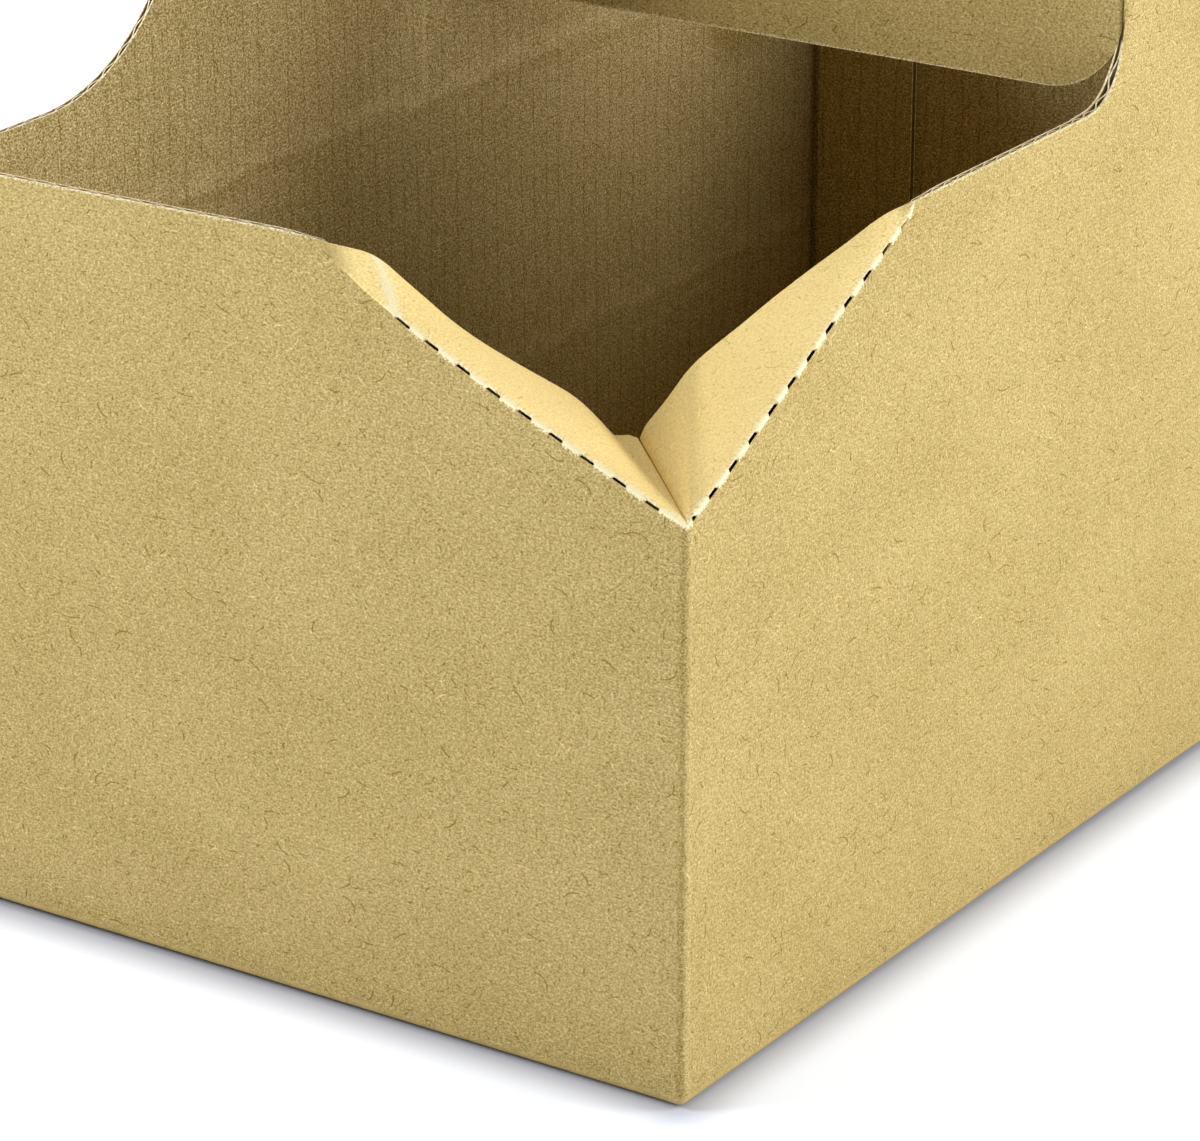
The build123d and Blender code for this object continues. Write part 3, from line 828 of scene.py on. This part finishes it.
# the pushed-in corner
fs = SC[(SC >= RIM_S[0] - 1e-6) & (SC <= RIM_S[-1] + 1e-6)]
fs = np.unique(np.round(np.concatenate([[RIM_S[0]], fs, np.interp(RIM_S, W + FAN_R, W + FAN_U), np.linspace(W - 2.4, W + 1.8, 30), [RIM_S[-1]]]), 3))
fs = fs[np.concatenate([[True], np.diff(fs) > 0.02])]
f_out, f_in, r_out, r_in, f_up, f_side, turn, f_r = flap_sheet(fs)
dist = np.linalg.norm(r_out - f_out, axis=-1)
slit = slit_at(fs) * near_fold(fs)
arc_len = f_r * turn
O, I, FD, TT = [], [], [], []
ARC_ROWS = 6
for k in range(ARC_ROWS):
    a = slit * np.minimum(0.46, arc_len * 0.6)
    a = a + (arc_len - a) * k / (ARC_ROWS - 1)
    phi = a / np.maximum(f_r, 1e-6)
    O.append(f_out + (f_r * np.sin(phi))[:, None] * f_up - (f_r * (1 - np.cos(phi)))[:, None] * f_side)
    t = np.minimum(0.02 * k, 0.3 * dist) / np.maximum(dist, 1e-6)
    I.append(f_in * (1 - t[:, None]) + r_in * t[:, None])
    FD.append(a); TT.append(t)
root = O[-1]
for t in np.concatenate([[0.015, 0.035, 0.065], np.linspace(0.11, 1, 13)]):
    O.append(root * (1 - t) + r_out * t)
    I.append(f_in * (1 - t) + r_in * t)
    FD.append(arc_len + dist * t); TT.append(np.full_like(fs, t))
O, I, FD, TT = np.array(O), np.array(I), np.array(FD), np.array(TT)
# the pushed-in halves swell a little between fold and edge
n = np.cross(np.gradient(O, axis=1), np.gradient(O, axis=0) + 1e-9)
n = n / np.maximum(np.linalg.norm(n, axis=-1, keepdims=True), 1e-9)
n = n * np.where(np.sum(n * (O - I), -1, keepdims=True) > 0, 1.0, -1.0)
uu = np.abs(fs - W)
swell = 0.5 * np.sin(np.pi * TT) * smooth(uu / 14)[None] * smooth((50 - uu) / 14)[None]
swell[:ARC_ROWS] = 0
O = O + n * swell[..., None]
I = I + n * swell[..., None]
flap = Board()
# place on the flat blank
depth = RIM - top_of(fs)
flat_s = fs[None] * (1 - TT) + fan(fs)[None] * TT
flat_h = RIM - depth[None] * (1 - TT)
flap.grid(np.broadcast_to(fs, FD.shape), FD, O, I, flat_s=flat_s, flat_h=flat_h)


def flap_torn_and_highlight(st):
    s, d = st[:, 0], st[:, 1]
    bridge = 1 - slit_at(s)
    # painted highlight along a crease of the left pushed-in half
    crease_highlight = np.exp(-((s - (W - 42.9)) / 1.1) ** 2) * 0.8
    return np.maximum(near_fold(s) * (np.exp(-np.maximum(d - 0.25, 0) / 0.45) * (0.35 + 0.65 * bridge) * 0.85 + 0.16 * np.exp(-d / 1.8)), crease_highlight)


add_layers("corner", flap, flap_torn_and_highlight, LINER_FOLD)


def flap_flute(s, r, w):
    v = 0.06 + 0.94 * r
    o = np.stack([np.interp(s, fs, root[:, c]) * (1 - v) + np.interp(s, fs, r_out[:, c]) * v for c in range(3)], -1)
    i = np.stack([np.interp(s, fs, f_in[:, c]) * (1 - v) + np.interp(s, fs, r_in[:, c]) * v for c in range(3)], -1)
    return o + (i - o) * w[:, None]


pieces.append(flute_mesh("corner_flutes", flap_flute, RIM_S[0] + 1.5, RIM_S[-1] - 1.0, 4, FLUTE))


# ------------------------------------------------------- bottom flaps and side seam
def flat_board(name, origin, su, hu, n_dir, s_len, h_len, phase=0.0, s_cuts=1, h_cuts=1):
    """A flat board: flutes run along hu, s runs along su, the outer face is at origin and
    the thickness goes along n_dir."""
    origin, su, hu, n_dir = (np.array(v, float) for v in (origin, su, hu, n_dir))
    s = np.linspace(0, s_len, max(int(s_len / 6), 2) + 1)
    h = np.linspace(0, h_len, max(int(h_len / 8), 2) + 1)
    Sg, Hg = np.meshgrid(s, h)
    o = origin + Sg[..., None] * su + Hg[..., None] * hu
    i = o + n_dir * T
    if np.dot(np.cross(su, hu), n_dir) > 0:     # outer face looks against n_dir
        Sg, Hg, o, i = Sg[:, ::-1], Hg[:, ::-1], o[:, ::-1], i[:, ::-1]
    bd = Board()
    bd.grid(Sg, Hg, o, i)
    add_layers(name, bd)

    def pos(s_, r, w):
        return origin + s_[:, None] * su + (0.05 + (h_len - 0.1) * r) * hu + w[:, None] * T * n_dir
    pieces.append(flute_mesh(name + "_flutes", pos, 0.1, s_len - 0.1, 2, FLUTE, phase=phase))


e = R_BASE + 0.02
flat_board("base_right", (HX - e, -HY + T + 0.2, 0.0), (0, 1, 0), (-1, 0, 0), (0, 0, 1), L - 2 * T - 0.4, HX - e - 0.6)
flat_board("base_left", (-HX + e, HY - T - 0.2, 0.0), (0, -1, 0), (1, 0, 0), (0, 0, 1), L - 2 * T - 0.4, HX - e - 0.6)
flat_board("base_front", (HX - T - 0.1, -HY + T + 0.05, T + 0.03), (-1, 0, 0), (0, 1, 0), (0, 0, 1), W - 2 * T - 0.2, 57.0)
flat_board("base_back", (-HX + T + 0.1, HY - T - 0.05, T + 0.03), (1, 0, 0), (0, -1, 0), (0, 0, 1), W - 2 * T - 0.2, 57.0)
flat_board("seam", (-HX + T + 1.6, HY - T - 0.03, 7.0), (1, 0, 0), (0, 0, 1), (0, -1, 0), 17.4, RIM - 7.0 - 3.0)

for p in pieces:
    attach(p, "root")
    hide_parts("carton")

# ------------------------------------------------------- floor, light, camera
FLOOR_GLOW = 0.56
floor_m, nt, bs = nodes_of("floor")
floor_m.cycles.emission_sampling = "NONE"
bs.inputs["Base Color"].default_value = (0.84, 0.86, 0.92, 1)
bs.inputs["Roughness"].default_value = 0.9
bs.inputs["Specular IOR Level"].default_value = 0.1
# the floor glows softly; right beside the box the glow falls off and the base colour turns darker and bluer: a painted
# contact shadow
N, K = nt.nodes, nt.links
tc = N.new("ShaderNodeTexCoord")
ab = N.new("ShaderNodeVectorMath"); ab.operation = "ABSOLUTE"; K.new(tc.outputs["Object"], ab.inputs[0])
sb = N.new("ShaderNodeVectorMath"); sb.operation = "SUBTRACT"; sb.inputs[1].default_value = (HX / 1000 - 0.002, HY / 1000 - 0.002, 0)
K.new(ab.outputs[0], sb.inputs[0])
mx = N.new("ShaderNodeVectorMath"); mx.operation = "MAXIMUM"; mx.inputs[1].default_value = (0, 0, 0)
K.new(sb.outputs[0], mx.inputs[0])
ln = N.new("ShaderNodeVectorMath"); ln.operation = "LENGTH"; K.new(mx.outputs[0], ln.inputs[0])
mr = N.new("ShaderNodeMapRange"); mr.interpolation_type = "SMOOTHSTEP"
mr.inputs["From Min"].default_value = 0.0; mr.inputs["From Max"].default_value = 0.0092
mr.inputs["To Min"].default_value = 0.0; mr.inputs["To Max"].default_value = FLOOR_GLOW
K.new(ln.outputs["Value"], mr.inputs["Value"])
# painted contact shadow: darker, bluer base colour within a few mm of the box
mc = N.new("ShaderNodeMapRange"); mc.interpolation_type = "SMOOTHSTEP"
mc.inputs["From Min"].default_value = 0.0008; mc.inputs["From Max"].default_value = 0.0024
K.new(ln.outputs["Value"], mc.inputs["Value"])
shade = N.new("ShaderNodeMix"); shade.data_type = "RGBA"
K.new(mc.outputs["Result"], shade.inputs["Factor"])
shade.inputs["A"].default_value = (0.50, 0.53, 0.64, 1)
shade.inputs["B"].default_value = (0.70, 0.74, 0.88, 1)
me_ = N.new("ShaderNodeMapRange"); me_.interpolation_type = "SMOOTHSTEP"
me_.inputs["From Min"].default_value = 0.003; me_.inputs["From Max"].default_value = 0.016
K.new(ln.outputs["Value"], me_.inputs["Value"])
away_ = N.new("ShaderNodeMix"); away_.data_type = "RGBA"
K.new(me_.outputs["Result"], away_.inputs["Factor"]); K.new(shade.outputs["Result"], away_.inputs["A"])
away_.inputs["B"].default_value = (0.82, 0.87, 0.98, 1)
K.new(away_.outputs["Result"], bs.inputs["Base Color"])
bs.inputs["Emission Color"].default_value = (0.93, 0.96, 1.0, 1)
# and painted light: the glow rises behind the box and far from it, where the lights are far off
al = N.new("ShaderNodeVectorMath"); al.operation = "DOT_PRODUCT"; al.inputs[1].default_value = (-0.556, 0.831, 0)
K.new(tc.outputs["Object"], al.inputs[0])
mb = N.new("ShaderNodeMapRange"); mb.interpolation_type = "SMOOTHSTEP"
mb.inputs["From Min"].default_value = 0.16; mb.inputs["From Max"].default_value = 0.55
mb.inputs["To Max"].default_value = 0.55
K.new(al.outputs["Value"], mb.inputs["Value"])
fl = N.new("ShaderNodeVectorMath"); fl.operation = "LENGTH"; K.new(tc.outputs["Object"], fl.inputs[0])
mf = N.new("ShaderNodeMapRange"); mf.interpolation_type = "SMOOTHSTEP"
mf.inputs["From Min"].default_value = 0.30; mf.inputs["From Max"].default_value = 0.62
mf.inputs["To Max"].default_value = 0.66
K.new(fl.outputs["Value"], mf.inputs["Value"])
far_ = N.new("ShaderNodeMath"); far_.operation = "MAXIMUM"
K.new(mb.outputs["Result"], far_.inputs[0]); K.new(mf.outputs["Result"], far_.inputs[1])
gs = N.new("ShaderNodeMath"); gs.operation = "ADD"
K.new(mr.outputs["Result"], gs.inputs[0]); K.new(far_.outputs[0], gs.inputs[1])
K.new(gs.outputs[0], bs.inputs["Emission Strength"])
bpy.ops.mesh.primitive_plane_add(size=14.0, location=(0, 0, -0.0003))
floor = bpy.context.object
floor.name = "floor"
floor.data.materials.append(floor_m)

world = bpy.data.worlds.new("studio")
bpy.context.scene.world = world
world.use_nodes = True
bg = world.node_tree.nodes["Background"]
bg.inputs["Color"].default_value = (1.0, 1.0, 1.0, 1)
bg.inputs["Strength"].default_value = 0.0


def area(name, loc, target, size, power, colour=(1, 1, 1)):
    li = bpy.data.lights.new(name, "AREA")
    li.shape = "RECTANGLE"
    li.size, li.size_y = size
    li.energy = power
    li.color = colour
    ob = bpy.data.objects.new(name, li)
    bpy.context.scene.collection.objects.link(ob)
    ob.location = loc
    d = np.array(target, float) - np.array(loc, float)
    from mathutils import Vector
    ob.rotation_mode = "QUATERNION"
    ob.rotation_quaternion = Vector(d).to_track_quat("-Z", "Y")
    return ob


area("high_back", (-0.30, 0.40, 1.35), (0, 0, 0.06), (0.5, 0.5), 6.5)
area("left_near", (-0.47, -0.45, 0.38), (0, 0, 0.06), (0.3, 0.3), 3.32)
area("right_near", (0.60, 0.25, 0.35), (0, 0, 0.06), (0.3, 0.3), 2.75)
area("right_far", (2.0, -0.2, 0.6), (0, 0, 0.06), (1.2, 1.0), 6.7)
area("right_low", (2.0, -0.45, 0.38), (0, 0, 0.06), (1.0, 0.4), 6.7)
area("right_front", (1.7, -1.0, 0.8), (0, 0, 0.06), (0.8, 0.8), 4.1)

area("front_low", (0.2, -1.6, 0.2), (0, 0, 0.10), (0.5, 0.25), 1.2)

from mathutils import Matrix, Vector
yaw, pitch, roll = math.radians(33.753), math.radians(21.468), math.radians(-0.036)
fwd = Vector((-math.sin(yaw) * math.cos(pitch), math.cos(yaw) * math.cos(pitch), -math.sin(pitch)))
right = Vector((math.cos(yaw), math.sin(yaw), 0))
up = right.cross(fwd)
r2 = math.cos(roll) * right + math.sin(roll) * up
u2 = -math.sin(roll) * right + math.cos(roll) * up
cam_d = bpy.data.cameras.new("camera")
cam = bpy.data.objects.new("camera", cam_d)
bpy.context.scene.collection.objects.link(cam)
cam_d.sensor_fit = "HORIZONTAL"
cam_d.sensor_width = 36.0
cam_d.lens = 5525.3 / 1200 * 36.0
cam_d.dof.use_dof = False
cam_d.clip_start, cam_d.clip_end = 0.02, 30.0
rot = Matrix((r2, u2, -fwd)).transposed()
cam.rotation_mode = "QUATERNION"
cam.rotation_quaternion = rot.to_quaternion()
cam.location = (0.39320, -0.62830, 0.31574)
bpy.context.scene.camera = cam

vs = bpy.context.scene.view_settings
vs.view_transform = "Standard"
vs.look = "None"
vs.exposure = 0.0
vs.gamma = 1.0
